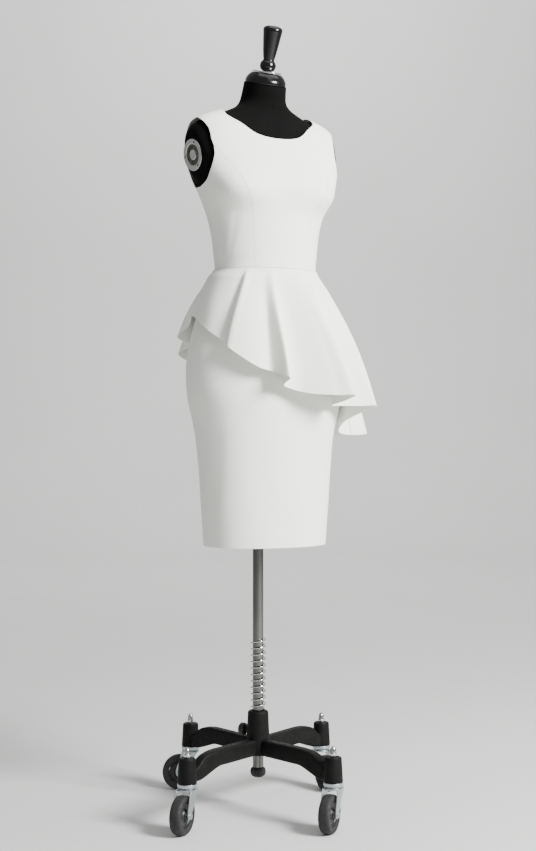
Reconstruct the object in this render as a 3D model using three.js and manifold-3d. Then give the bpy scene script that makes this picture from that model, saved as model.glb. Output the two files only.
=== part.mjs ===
// A sleeveless knee-length sheath dress with an asymmetric peplum, worn by a limbless dress form
// on a pole with a four-armed caster base. Millimetres, +Z up, the dress faces -Y.
// The pole's axis is the working origin; the finished group is shifted so that it stands on z = 0
// with the middle of its box over the origin.
import * as THREE from 'three';
import { mergeVertices } from 'three/addons/utils/BufferGeometryUtils.js';
import Module from 'manifold-3d';

const wasm = await Module();
wasm.setup();

// ---- driving dimensions -------------------------------------------------------------------
const GAP = 0.3;            // between pieces that touch
const SEAM_ANGLE = 0.1;     // degrees kept by each panel at an upright seam
const CLOTH_IN = 2.5;       // lining side of the cloth, out from the form
const CLOTH_OUT = 4.5;      // right side of the cloth, out from the form
const WAIST_Z = 1151;
const HEM_Z = 571;
const FORM_BOTTOM_Z = 700;
const FORM_TOP_Z = 1551;
const NECK_LEAN = THREE.MathUtils.degToRad(18);
const POLE_RADIUS = 11.5;
const POLE_SIDES = 16;
const POLE_TOP_Z = 1240;
const POLE_BOTTOM_Z = 90;
const HUB_TOP_Z = 212;
const HUB_BOTTOM_Z = 118;
const BOSS_REACH = 224;
const BOSS_BOTTOM_Z = 99;
const BOSS_TOP_Z = 150;
const ARM_HALF_ANGLE = 48.5;   // degrees of each arm from the base's long axis
const BASE_TURN = -26;         // degrees of the long axis from +X
const WHEEL_RADIUS = 39.5;
const CASTER_TRAIL = 24;
const SPRING_TOP_Z = 367;
const SPRING_TURNS = 11;

// ---- body surface -------------------------------------------------------------------------
// Level sections of the form: [z, half width, depth in front, depth behind, centre Y, squareness]
const SECTIONS = [
  [571, 129, 97, 97, -32, 2.2], [670, 137, 101, 101, -32, 2.2], [786, 146.5, 106, 107, -32, 2.2],
  [834, 155, 109, 111, -32, 2.2], [882, 166, 113, 116, -32, 2.2], [925, 170, 113, 118, -32, 2.15],
  [964, 168.5, 112, 118, -32, 2.1], [1010, 160, 108, 112, -32, 2.1], [1052, 147, 102, 102, -32, 2.1],
  [1100, 127, 92, 90, -33, 2.1], [1151, 108, 81, 80, -33, 2.1], [1180, 109.5, 81, 80, -33, 2.1],
  [1224, 114.5, 84, 84, -32, 2.1], [1265, 124, 88, 88, -31, 2.1], [1290, 133, 91, 92, -31, 2.15],
  [1320, 145, 95, 95, -29, 2.2], [1335, 152, 95, 94, -26, 2.3], [1350, 160, 93, 93, -24, 2.4],
  [1380, 171, 89, 88, -19, 2.6], [1412, 174, 80, 78, -14, 2.6], [1440, 173, 69, 68, -14, 2.4],
  [1452, 166, 61, 61, -15.5, 2.3], [1465, 151, 50, 54, -18, 2.2], [1474, 130, 46, 51, -19, 2.1],
  [1482, 107, 43, 50, -20, 2.0], [1492, 82, 45, 49, -19, 2.0], [1502, 62, 47, 48, -19.5, 2.0],
  [1515, 51, 47, 47, -22, 2.0], [1533, 47, 46.5, 46.5, -27.5, 2.0], [1551, 45.5, 45, 45, -33, 2.0],
];
const BUST = { angle: 40, z: 1308, height: 19, spread: 25, above: 39, below: 27 };

const radians = THREE.MathUtils.degToRad;

// Catmull-Rom value of each column of a table of rows sorted by their first column.
function along(table, at) {
  const last = table.length - 1;
  let i = 0;
  while (i < last - 1 && at > table[i + 1][0]) i += 1;
  const [p, q] = [table[i], table[i + 1]];
  const before = table[Math.max(i - 1, 0)];
  const after = table[Math.min(i + 2, last)];
  const span = q[0] - p[0];
  const t = (at - p[0]) / span;
  return p.slice(1).map((value, k) => {
    const c = k + 1;
    const slopeIn = i > 0 ? (q[c] - before[c]) / (q[0] - before[0]) : (q[c] - p[c]) / span;
    const slopeOut = i + 2 <= last ? (after[c] - p[c]) / (after[0] - p[0]) : (q[c] - p[c]) / span;
    const t2 = t * t;
    const t3 = t2 * t;
    return (2 * t3 - 3 * t2 + 1) * value + (t3 - 2 * t2 + t) * span * slopeIn
      + (3 * t2 - 2 * t3) * q[c] + (t3 - t2) * span * slopeOut;
  });
}

function bustRise(angle, z) {
  const side = (Math.abs(angle) - BUST.angle) / BUST.spread;
  const up = (z - BUST.z) / (z > BUST.z ? BUST.above : BUST.below);
  return BUST.height * Math.exp(-side * side - up * up);
}

const power = (value, n) => Math.sign(value) * Math.abs(value) ** (2 / n);

// Point of the form at an angle in degrees (0 front, +90 the form's left, 180 back) and height.
function body(angle, z) {
  const [halfWidth, front, back, centreY, n] = along(SECTIONS, z);
  const wrapped = ((angle + 540) % 360) - 180;
  const s = Math.sin(radians(wrapped));
  const c = Math.cos(radians(wrapped));
  const depth = c > 0 ? front : back;
  const rise = bustRise(wrapped, z);
  const lean = NECK_LEAN * THREE.MathUtils.smoothstep(z, 1495, FORM_TOP_Z);
  const inY = depth * power(c, n) + rise * c;
  return new THREE.Vector3(
    halfWidth * power(s, n) + rise * s,
    centreY - inY * Math.cos(lean),
    z - inY * Math.sin(lean),
  );
}

// The same point moved out along the surface's normal.
function offBody(angle, z, out) {
  const da = body(angle + 0.8, z).sub(body(angle - 0.8, z));
  const dz = body(angle, z + 1.5).sub(body(angle, z - 1.5));
  return body(angle, z).addScaledVector(da.cross(dz).normalize(), out);
}

// ---- mesh helpers -------------------------------------------------------------------------
function geometryOf(points, triangles) {
  const geometry = new THREE.BufferGeometry();
  geometry.setAttribute('position', new THREE.Float32BufferAttribute(points.flatMap((p) => [p.x, p.y, p.z]), 3));
  geometry.setIndex(triangles);
  return geometry;
}

// A wall of cloth: an outer and an inner sheet over a grid, closed along the four edges.
function wall(columns, rows, outerAt, innerAt) {
  const points = [];
  for (const at of [outerAt, innerAt]) {
    for (let i = 0; i <= columns; i += 1) {
      for (let j = 0; j <= rows; j += 1) points.push(at(i / columns, j / rows));
    }
  }
  const sheet = (columns + 1) * (rows + 1);
  const id = (side, i, j) => side * sheet + i * (rows + 1) + j;
  const triangles = [];
  const quad = (a, b, c, d) => triangles.push(a, b, c, a, c, d);
  for (let i = 0; i < columns; i += 1) {
    for (let j = 0; j < rows; j += 1) {
      quad(id(0, i, j), id(0, i + 1, j), id(0, i + 1, j + 1), id(0, i, j + 1));
      quad(id(1, i, j), id(1, i, j + 1), id(1, i + 1, j + 1), id(1, i + 1, j));
    }
    quad(id(0, i, 0), id(1, i, 0), id(1, i + 1, 0), id(0, i + 1, 0));
    quad(id(0, i + 1, rows), id(1, i + 1, rows), id(1, i, rows), id(0, i, rows));
  }
  for (let j = 0; j < rows; j += 1) {
    quad(id(0, 0, j + 1), id(1, 0, j + 1), id(1, 0, j), id(0, 0, j));
    quad(id(0, columns, j), id(1, columns, j), id(1, columns, j + 1), id(0, columns, j + 1));
  }
  return geometryOf(points, triangles);
}

// A solid through closed rings of equal count, shut by a point at each end.
function ringSolid(rings, first, last) {
  const count = rings[0].length;
  const points = [first, ...rings.flat(), last];
  const end = points.length - 1;
  const triangles = [];
  for (let k = 0; k < count; k += 1) {
    const next = (k + 1) % count;
    triangles.push(0, 1 + next, 1 + k);
    for (let r = 0; r + 1 < rings.length; r += 1) {
      const [low, high] = [1 + r * count, 1 + (r + 1) * count];
      triangles.push(low + k, low + next, high + next, low + k, high + next, high + k);
    }
    const top = 1 + (rings.length - 1) * count;
    triangles.push(top + k, top + next, end);
  }
  return geometryOf(points, triangles);
}

function toManifold(geometry) {
  const bare = geometry.clone();
  bare.deleteAttribute('normal');
  bare.deleteAttribute('uv');
  const merged = mergeVertices(bare, 1e-4);
  return new wasm.Manifold(new wasm.Mesh({
    numProp: 3,
    vertProperties: new Float32Array(merged.attributes.position.array),
    triVerts: new Uint32Array(merged.index.array),
  }));
}

function fromManifold(solid) {
  const mesh = solid.getMesh();
  const geometry = new THREE.BufferGeometry();
  geometry.setAttribute('position', new THREE.BufferAttribute(new Float32Array(mesh.vertProperties), 3));
  geometry.setIndex([...mesh.triVerts]);
  return geometry;
}

const joined = (solids) => solids.reduce((whole, solid) => whole.add(solid));

// A turned piece about +Z from [radius, z] pairs, lowest first.
function turned(profile, sides) {
  const geometry = new THREE.LatheGeometry(profile.map(([r, z]) => new THREE.Vector2(r, z)), sides);
  return geometry.rotateX(Math.PI / 2);
}

const upright = (radius, low, high, sides) => turned([[0, low], [radius, low], [radius, high], [0, high]], sides);

// ---- materials ----------------------------------------------------------------------------
const finish = (color, roughness, metalness) => new THREE.MeshStandardMaterial({ color, roughness, metalness });
const crepe = finish(0xf1f2ec, 0.75, 0);
const jersey = finish(0x1a1a19, 0.9, 0);
const lacquer = finish(0x0d0d0d, 0.2, 0);
const chrome = finish(0xc8cac9, 0.15, 1);
const zinc = finish(0xb9c4c6, 0.4, 1);
const casting = finish(0x1b1b1a, 0.7, 0.3);
const rubber = finish(0x191919, 0.8, 0);
const enamel = finish(0xe9e9e2, 0.35, 0.5);
const nylon = finish(0x0e0e0e, 0.5, 0);

const group = new THREE.Group();

function add(name, geometry, material, parent = group) {
  const mesh = new THREE.Mesh(geometry, material);
  mesh.name = name;
  parent.add(mesh);
  return mesh;
}

// ---- the dress: bodice --------------------------------------------------------------------
// Seam and edge lines on the form as [t, angle, z], mirrored for the other side.
const PRINCESS = [[0, 34, WAIST_Z + GAP / 2], [0.25, 33, 1224], [0.5, 32, 1293], [0.62, 33.7, 1316],
  [0.75, 36.5, 1342], [0.88, 41.5, 1373], [1, 50, 1397]];
const ARMHOLE_TOP = [[0, 50, 1397], [0.25, 49.5, 1416], [0.48, 54, 1437], [0.65, 62, 1450], [0.82, 74, 1459],
  [1, 89.9, 1465]];
const ARMHOLE_LOW = [[0, 89.9, 1323], [0.25, 74, 1332], [0.5, 62, 1351], [0.8, 52, 1378], [1, 50, 1397]];
const NECK_POINT_Z = 1485;   // where the neckline crosses the shoulder seam
const NECKLINE = [[0, 89.9, NECK_POINT_Z], [0.14, 66, 1480.5], [0.28, 48, 1471.5], [0.42, 36.5, 1462],
  [0.55, 28.5, 1453.5], [0.68, 21, 1442], [0.8, 14, 1431.5], [0.9, 7, 1424.5], [1, 0, 1421.5]];
const BACK_ARMHOLE = [[0, 90.1, 1323], [0.15, 106, 1326], [0.3, 119, 1338], [0.5, 127, 1365], [0.7, 127, 1405],
  [0.85, 119, 1440], [0.93, 108, 1453], [1, 90.1, 1465]];
const BACK_NECKLINE = [[0, 90.1, NECK_POINT_Z], [0.3, 118, 1476], [0.6, 145, 1459], [1, 180 - SEAM_ANGLE, 1449]];
const FRONT_COLUMNS = 18;
const BACK_COLUMNS = 9;
const STRAP_SHARE = 2 / 9;    // of a front or back panel's top edge, at the shoulder seam
const SEAM_ROWS = 8;          // rows of facets up a princess seam
const ARMHOLE_ROWS = 5;       // rows beside the armhole, above the princess seam
const BACK_ROWS = 14;
const BACK_SIDE_SHARE = 5 / 14;   // of a back's side edge, below the armhole
const SEAM_SHARE = SEAM_ROWS / (SEAM_ROWS + ARMHOLE_ROWS);

const mix = (a, b, t) => a.map((value, k) => value + (b[k] - value) * t);

// Blend of four edge lines, each a function of 0..1 giving [angle, z].
function coons(bottom, top, left, right) {
  return (u, v) => {
    const across = mix(bottom(u), top(u), v);
    const up = mix(left(v), right(v), u);
    const corners = mix(mix(bottom(0), bottom(1), u), mix(top(0), top(1), u), v);
    return across.map((value, k) => value + up[k] - corners[k]);
  };
}

const panelWall = (columns, rows, place, out = CLOTH_OUT, inside = CLOTH_IN) => wall(
  columns,
  rows,
  (u, v) => offBody(...place(u, v), out),
  (u, v) => offBody(...place(u, v), inside),
);

function bodiceFrontCenter() {
  const side = (v) => (v < SEAM_SHARE
    ? along(PRINCESS, v / SEAM_SHARE)
    : along(ARMHOLE_TOP, (v - SEAM_SHARE) / (1 - SEAM_SHARE)));
  const halfTop = (w) => (w < STRAP_SHARE
    ? mix([89.9, 1465], [89.9, NECK_POINT_Z], w / STRAP_SHARE)
    : along(NECKLINE, (w - STRAP_SHARE) / (1 - STRAP_SHARE)));
  const top = (u) => {
    const [angle, z] = halfTop(1 - Math.abs(2 * u - 1));
    return [u < 0.5 ? -angle : angle, z];
  };
  const inset = (edge) => (v) => {
    const [angle, z] = side(v);
    return [edge * (angle - SEAM_ANGLE), z];
  };
  const bottom = (u) => [(2 * u - 1) * (PRINCESS[0][1] - SEAM_ANGLE), WAIST_Z + GAP / 2];
  return panelWall(FRONT_COLUMNS, SEAM_ROWS + ARMHOLE_ROWS, coons(bottom, top, inset(-1), inset(1)));
}

function bodiceFrontSide(sign) {
  const seam = (v) => {
    const [angle, z] = along(PRINCESS, v);
    return [angle + SEAM_ANGLE, z];
  };
  const side = (v) => [89.9, WAIST_Z + GAP / 2 + v * (1323 - WAIST_Z - GAP / 2)];
  const bottom = (u) => mix(seam(0), side(0), u);
  const top = (u) => along(ARMHOLE_LOW, 1 - u);
  const place = coons(bottom, top, seam, side);
  return panelWall(7, SEAM_ROWS, (u, v) => {
    const [angle, z] = sign > 0 ? place(u, v) : place(1 - u, v);
    return [sign * angle, z];
  });
}

function bodiceBack(sign) {
  const side = (v) => (v < BACK_SIDE_SHARE
    ? [90.1, WAIST_Z + GAP / 2 + (v / BACK_SIDE_SHARE) * (1323 - WAIST_Z - GAP / 2)]
    : along(BACK_ARMHOLE, (v - BACK_SIDE_SHARE) / (1 - BACK_SIDE_SHARE)));
  const centre = (v) => [180 - SEAM_ANGLE, WAIST_Z + GAP / 2 + v * (1449 - WAIST_Z - GAP / 2)];
  const bottom = (u) => mix(side(0), centre(0), u);
  const top = (u) => (u < STRAP_SHARE
    ? mix([90.1, 1465], [90.1, NECK_POINT_Z], u / STRAP_SHARE)
    : along(BACK_NECKLINE, (u - STRAP_SHARE) / (1 - STRAP_SHARE)));
  const place = coons(bottom, top, side, centre);
  return panelWall(BACK_COLUMNS, BACK_ROWS, (u, v) => {
    const [angle, z] = sign > 0 ? place(u, v) : place(1 - u, v);
    return [sign * angle, z];
  });
}

// ---- the dress: skirt ---------------------------------------------------------------------
const WAIST_TUCK = 1.6;       // the skirt's top runs this much nearer the form, under the peplum
const TUCK_HEIGHT = 45;

const tuck = (z) => WAIST_TUCK * THREE.MathUtils.smoothstep(z, WAIST_Z - TUCK_HEIGHT, WAIST_Z);

function skirtPanel(from, to, columns) {
  const top = WAIST_Z - GAP / 2;
  const place = (u, v) => [from + (to - from) * u, HEM_Z + (top - HEM_Z) * v];
  const at = (out) => (u, v) => {
    const [angle, z] = place(u, v);
    return offBody(angle, z, out - tuck(z));
  };
  return wall(columns, 10, at(CLOTH_OUT), at(CLOTH_IN));
}

// ---- the dress: peplum --------------------------------------------------------------------
// The hem's folds by hand, going round from the form's right hip by the front:
// [place along the seam in degrees, angle of the fold, reach from the middle, hem height]
const FOLDS = [
  [-107, -107, 156, 1055], [-92, -92, 158, 1048], [-76, -74, 164, 1021], [-60, -63, 156, 1000],
  [-53, -58, 150, 990], [-48, -55, 167, 986], [-42, -46, 170, 966], [-36, -33, 160, 942], [-29, -22, 149, 933],
  [-20, -12, 182, 920], [-14, -13, 149, 905], [-7, -1, 148, 894], [1, 10, 168, 888], [10, 21, 198, 886],
  [20, 28, 222, 886], [29, 33, 188, 875], [36, 36, 154, 866], [43, 44, 164, 865],
  [50, 52, 202, 865], [58, 57, 236, 865], [66, 63, 202, 850], [72, 70, 178, 837],
  [77, 77, 169, 826], [82, 83, 169, 811], [87, 86, 190, 804], [93, 90, 230, 803],
  [99, 94, 266, 805], [107, 101, 238, 802], [114, 109, 204, 800], [121, 117, 208, 799],
  [129, 125, 236, 800], [139, 134, 196, 805], [149, 146, 208, 815], [160, 160, 168, 835],
  [172, 174, 188, 860], [186, 188, 154, 885], [200, 203, 182, 915], [214, 217, 152, 945],
  [226, 229, 192, 977], [235, 237, 160, 995], [241, 243, 186, 1012], [247, 248, 160, 1036],
  [253, 253, 156, 1055],
];
const PEPLUM_CENTRE_Y = -33;
const PEPLUM_THICK = 1.8;
const PEPLUM_CLEAR = 7;       // from the form's surface to the cloth's middle
const PEPLUM_ARCH = 0.12;     // how far the cloth springs out above a straight line to its hem
const PLEAT = { place: -47, spread: 3.2, rise: 5 };   // the one crest that starts at the waist seam

const foldAt = (place) => {
  const turns = Math.floor((place + 107) / 360);
  return along(FOLDS, place - turns * 360).map((value, k) => (
    k === 0 ? value + turns * 360 : value));
};

// How far the form's surface lies from the peplum's middle line in one direction.
function bodyReach(angle, z) {
  const [halfWidth, front, back, , n] = along(SECTIONS, z);
  const s = Math.abs(Math.sin(radians(angle))) / halfWidth;
  const c = Math.cos(radians(angle));
  const d = Math.abs(c) / (c > 0 ? front : back);
  return (s ** n + d ** n) ** (-1 / n);
}

const softMax = (a, b, width) => (a + b + Math.sqrt((a - b) ** 2 + width * width)) / 2;

// Middle of the peplum's cloth at a place along the seam and 0 (waist) to 1 (hem).
function peplumAt(place, down) {
  const [foldAngle, reach, hemZ] = foldAt(place);
  const top = WAIST_Z - 1.2;
  const z = top + (hemZ - top) * down;
  const swing = THREE.MathUtils.smoothstep(down, 0, 1) * 0.6 + down * 0.4;
  const angle = place + (foldAngle - place) * swing;
  const start = bodyReach(place, top) + 5.6;
  const line = start + (reach - start) * (down + PEPLUM_ARCH * Math.sin(Math.PI * down));
  const hug = bodyReach(angle, z) + PEPLUM_CLEAR;
  const blend = 10 * THREE.MathUtils.smoothstep(down, 0, 0.15);
  const pleat = PLEAT.rise * Math.exp(-(((place - PLEAT.place) / PLEAT.spread) ** 2))
    * THREE.MathUtils.smoothstep(down, 0, 0.12);
  const radius = down < 1e-6 ? start : softMax(line, hug, blend) + pleat;
  return new THREE.Vector3(
    radius * Math.sin(radians(angle)),
    PEPLUM_CENTRE_Y - radius * Math.cos(radians(angle)),
    z,
  );
}

function peplumPanel(from, to, columns) {
  const at = (side) => (u, v) => {
    const place = from + (to - from) * u;
    const down = 1 - v;
    const across = peplumAt(place + 0.5, down).sub(peplumAt(place - 0.5, down));
    const up = peplumAt(place, Math.max(down - 0.01, 0)).sub(peplumAt(place, Math.min(down + 0.01, 1)));
    const normal = across.cross(up).normalize();
    return peplumAt(place, down).addScaledVector(normal, (side * PEPLUM_THICK) / 2);
  };
  return wall(columns, 6, at(1), at(-1));
}

// ---- the dress: zip pull at the centre back -----------------------------------------------
const ZIP_TOP_Z = 1440;

function zipPieces() {
  const seat = offBody(180, ZIP_TOP_Z, CLOTH_OUT);
  const below = offBody(180, ZIP_TOP_Z - 18, CLOTH_OUT);
  const tilt = Math.atan2(below.y - seat.y, seat.z - below.z);
  const shape = new THREE.Shape();
  shape.moveTo(-1.6, 0);
  shape.lineTo(-3, -17);
  shape.absarc(0, -19, 3, Math.PI, 2 * Math.PI, false);
  shape.lineTo(1.6, 0);
  shape.closePath();
  const holder = new THREE.Group();
  holder.position.copy(seat);
  holder.rotation.x = tilt;
  add('zip_slider', new THREE.BoxGeometry(4, 2.4, 9).translate(0, 1.2 + 2 * GAP, -4.5), enamel, holder);
  const pull = new THREE.ExtrudeGeometry(shape, { depth: 1.2, bevelEnabled: false, curveSegments: 6 });
  add('zip_pull', pull.rotateX(Math.PI / 2).translate(0, 2.4 + 3 * GAP + 1.2, -2), enamel, holder);
  return holder;
}

// ---- the form -----------------------------------------------------------------------------
const TORSO_SIDES = 24;
const TORSO_UNDER = 1.5;      // the form lies this far under the body surface,
const SHOULDER_UNDER = 1.6;  // and this much more over the ridge of the shoulders
const TORSO_LEVELS = [FORM_BOTTOM_Z, 790, 860, 925, 990, 1050, 1100, 1151, 1205, 1260, 1290, 1318, 1338, 1365, 1400,
  1430, 1450, 1462, 1472, 1482, 1492, 1504, 1524, FORM_TOP_Z];
const BORE_RADIUS = 15;
const BORE_TOP_Z = 1514;     // deep enough for the form to come down over the pole

const ARM_PLATE_RADIUS = 33;

// The flat end of an arm stump: a point on it, and the turn from +Z to its outward normal.
function armFace(sign) {
  const [down, forward] = [radians(10), radians(8)];
  const normal = new THREE.Vector3(sign * Math.cos(forward) * Math.cos(down), -Math.sin(forward), -Math.sin(down));
  const turn = new THREE.Quaternion().setFromUnitVectors(new THREE.Vector3(0, 0, 1), normal.normalize());
  return { at: [sign * 163, -20, 1388], turn };
}

const ringAt = (pointOf) => Array.from({ length: TORSO_SIDES }, (_, k) => pointOf((k * 360) / TORSO_SIDES));

function under(angle, z) {
  if (z >= FORM_TOP_Z) return 0;
  const ridge = Math.exp(-(((z - 1458) / 24) ** 2));
  return TORSO_UNDER + SHOULDER_UNDER * ridge + 0.17 * bustRise(angle, z);
}

function torso() {
  const bore = (z) => ringAt((angle) => new THREE.Vector3(
    BORE_RADIUS * Math.sin(radians(angle)),
    -BORE_RADIUS * Math.cos(radians(angle)),
    z,
  ));
  const boreTop = BORE_TOP_Z;
  const neckTop = ringAt((angle) => body(angle, FORM_TOP_Z)).reduce((sum, p) => sum.add(p), new THREE.Vector3())
    .divideScalar(TORSO_SIDES);
  const rings = [bore(boreTop), bore(FORM_BOTTOM_Z),
    ...TORSO_LEVELS.map((z) => ringAt((angle) => offBody(angle, z, -under(angle, z))))];
  const whole = toManifold(ringSolid(rings, new THREE.Vector3(0, 0, boreTop), neckTop));
  const cuts = [1, -1].map((sign) => toManifold(new THREE.BoxGeometry(200, 200, 60).translate(0, 0, 30)
    .applyQuaternion(armFace(sign).turn).translate(...armFace(sign).at)));
  return fromManifold(whole.subtract(joined(cuts)));
}

const NECK_TOP = new THREE.Vector3(0, -33, FORM_TOP_Z);

function neckGroup() {
  const neck = new THREE.Group();
  neck.position.copy(NECK_TOP);
  neck.rotation.x = NECK_LEAN;
  const cap = [[0, GAP], [43.5, GAP], [44, 3], [43, 9], [38, 17], [31.5, 23], [0, 24]];
  add('neck_cap', turned(cap, 18), lacquer, neck);
  add('neck_plate', turned([[0, 24.3], [31, 24.3], [31, 26.8], [0, 26.8]], 18), chrome, neck);
  const handle = [[0, 27.1], [9, 27.1], [15, 31], [17.3, 39], [15, 46], [11.5, 50], [12.5, 53], [14, 62], [19.8, 106],
    [20.6, 112], [18.5, 117], [11, 120.5], [0, 121.5]];
  add('finial', turned(handle, 14), lacquer, neck);
  return neck;
}

function armPlate(sign) {
  const holder = new THREE.Group();
  holder.position.set(...armFace(sign).at);
  holder.quaternion.copy(armFace(sign).turn);
  const side = sign > 0 ? 'left' : 'right';
  const profile = [[0, GAP], [ARM_PLATE_RADIUS, GAP], [ARM_PLATE_RADIUS, 2.7], [15, 2.7], [13, 1.5], [0, 1.5]];
  add(`arm_plate_${side}`, turned(profile, 18), chrome, holder);
  return holder;
}

// ---- the stand ----------------------------------------------------------------------------
const HUB_RADIUS = [24.5, 22];
const CLAMP_Z = 168;
const CLAMP_ANGLE = 122;      // degrees from +X, on the hub's far side
const ARM_WIDTH = 24;
const ARM_PROFILE = [[10, 152], [150, 153], [180, 146], [200, 131], [212, 124], [212, 99], [187, 100], [160, 110],
  [135, 118], [10, 118]];
const STEM_RADIUS = 5;
const ARM_ANGLES = [ARM_HALF_ANGLE, 180 - ARM_HALF_ANGLE, 180 + ARM_HALF_ANGLE, -ARM_HALF_ANGLE]
  .map((angle) => angle + BASE_TURN);

const bossAt = (k) => new THREE.Vector3(
  BOSS_REACH * Math.cos(radians(ARM_ANGLES[k])),
  BOSS_REACH * Math.sin(radians(ARM_ANGLES[k])),
  0,
);

function baseCasting() {
  const hub = turned([[0, HUB_BOTTOM_Z], [HUB_RADIUS[0], HUB_BOTTOM_Z], [HUB_RADIUS[0], 155],
    [HUB_RADIUS[1], HUB_TOP_Z - 3], [HUB_RADIUS[1] - 3, HUB_TOP_Z], [0, HUB_TOP_Z]], 18);
  const solids = [toManifold(hub)];
  const bores = [toManifold(upright(POLE_RADIUS + GAP, HUB_BOTTOM_Z - 5, HUB_TOP_Z + 5, POLE_SIDES))];
  const side = new THREE.Shape(ARM_PROFILE.map(([r, z]) => new THREE.Vector2(r, z)));
  ARM_ANGLES.forEach((angle, k) => {
    const arm = new THREE.ExtrudeGeometry(side, { depth: ARM_WIDTH, bevelEnabled: false });
    arm.translate(0, 0, -ARM_WIDTH / 2).rotateX(Math.PI / 2).rotateZ(radians(angle));
    const at = bossAt(k);
    const boss = turned([[0, BOSS_BOTTOM_Z], [20, BOSS_BOTTOM_Z], [17.3, BOSS_TOP_Z - 2], [15.5, BOSS_TOP_Z],
      [0, BOSS_TOP_Z]], 14).translate(at.x, at.y, 0);
    solids.push(toManifold(arm), toManifold(boss));
    bores.push(toManifold(upright(STEM_RADIUS + 0.6, BOSS_BOTTOM_Z - 5, BOSS_BOTTOM_Z + 25, 8).translate(at.x, at.y, 0)));
  });
  const screwHole = upright(4.6, POLE_RADIUS, 40, 8).rotateY(Math.PI / 2).rotateZ(radians(CLAMP_ANGLE))
    .translate(0, 0, CLAMP_Z);
  return fromManifold(joined(solids).subtract(joined(bores)).subtract(toManifold(screwHole)));
}

function clampKnob() {
  const profile = [[0, POLE_RADIUS + GAP + 0.3], [4, POLE_RADIUS + GAP + 0.3], [4, 29], [8, 29], [13.5, 33],
    [13.5, 42], [10, 45], [0, 46]];
  return turned(profile, 12).rotateY(Math.PI / 2).rotateZ(radians(CLAMP_ANGLE)).translate(0, 0, CLAMP_Z);
}

// A wire wound round the pole, standing on the hub.
function spring() {
  class Winding extends THREE.Curve {
    getPoint(t, target = new THREE.Vector3()) {
      const turn = 2 * Math.PI * SPRING_TURNS * t;
      const low = HUB_TOP_Z + 1.8;
      return target.set(15.6 * Math.cos(turn), 15.6 * Math.sin(turn), low + (SPRING_TOP_Z - 1.6 - low) * t);
    }
  }
  const wire = new THREE.Shape(Array.from({ length: 4 }, (_, k) => new THREE.Vector2(
    1.6 * Math.cos((Math.PI * k) / 2),
    1.6 * Math.sin((Math.PI * k) / 2),
  )));
  return new THREE.ExtrudeGeometry(wire, { steps: SPRING_TURNS * 8, extrudePath: new Winding() });
}

// ---- casters ------------------------------------------------------------------------------
const CASTER_NAMES = ['left_rear', 'right_rear', 'right_front', 'left_front'];
const CASTER_SWIVEL = { left_rear: -93, right_rear: 152, right_front: -140, left_front: -140 };
const TREAD_WIDTH = 14;
const AXLE_RADIUS = 4;
const WHEEL_SIDES = 18;

function bearingRing() {
  return turned([[STEM_RADIUS + 0.5, 88.3], [17, 88.3], [20, 91.5], [20, 98.7], [STEM_RADIUS + 0.5, 98.7],
    [STEM_RADIUS + 0.5, 88.3]], 14);
}

function fork() {
  const plate = toManifold(upright(19, 84.8, 88, 14));
  const stem = toManifold(upright(STEM_RADIUS, 85, 120, 8));
  const leg = new THREE.Shape([[-17, 88], [19, 88], [CASTER_TRAIL + 9, 44], [CASTER_TRAIL + 7, 34],
    [CASTER_TRAIL, 31], [CASTER_TRAIL - 7, 34], [CASTER_TRAIL - 10, 42]].map(([x, z]) => new THREE.Vector2(x, z)));
  const legs = [-17.5, 15].map((y) => toManifold(
    new THREE.ExtrudeGeometry(leg, { depth: 2.5, bevelEnabled: false }).rotateX(Math.PI / 2).translate(0, y + 2.5, 0),
  ));
  const bolts = [-21, 16.5].map((y) => toManifold(upright(6.5, 0, 4.5, 6).rotateX(-Math.PI / 2)
    .translate(CASTER_TRAIL, y, WHEEL_RADIUS)));
  return fromManifold(joined([plate, stem, ...legs, ...bolts]));
}

// Wheel pieces are turned about +Y through the wheel's middle, a flat of the tread lowest.
function wheelPiece(profile, sides) {
  const geometry = turned(profile, sides).rotateX(Math.PI / 2);
  geometry.rotateY(Math.PI / sides);
  return geometry.translate(CASTER_TRAIL, 0, WHEEL_RADIUS);
}

function tyre() {
  const outer = WHEEL_RADIUS / Math.cos(Math.PI / WHEEL_SIDES);
  return wheelPiece([[25, -10], [outer - 4, -12], [outer, -TREAD_WIDTH / 2], [outer, TREAD_WIDTH / 2],
    [outer - 4, 12], [25, 10], [25, -10]], WHEEL_SIDES);
}

function wheelHub() {
  const rim = 25 * Math.cos(Math.PI / WHEEL_SIDES) - GAP;
  return wheelPiece([[AXLE_RADIUS + 0.8, -13], [10, -13], [rim, -8], [rim, 8], [10, 13], [AXLE_RADIUS + 0.8, 13],
    [AXLE_RADIUS + 0.8, -13]], WHEEL_SIDES);
}

function casters() {
  const shapes = {
    bearing_ring: [bearingRing(), zinc],
    fork: [fork(), zinc],
    axle: [upright(AXLE_RADIUS, -14.7, 14.7, 8).rotateX(Math.PI / 2).translate(CASTER_TRAIL, 0, WHEEL_RADIUS), zinc],
    tyre: [tyre(), rubber],
    wheel_hub: [wheelHub(), nylon],
    acorn_nut: [turned([[0, BOSS_TOP_Z + GAP], [7.6, BOSS_TOP_Z + GAP], [7.6, 159], [7, 165], [4, 170.5], [0, 172]], 8),
      chrome],
  };
  CASTER_NAMES.forEach((name, k) => {
    const caster = new THREE.Group();
    caster.position.copy(bossAt(k));
    caster.rotation.z = radians(CASTER_SWIVEL[name]);
    Object.entries(shapes).forEach(([piece, [geometry, material]]) => {
      add(`${piece}_${name}`, geometry, material, caster);
    });
    group.add(caster);
  });
}

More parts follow.
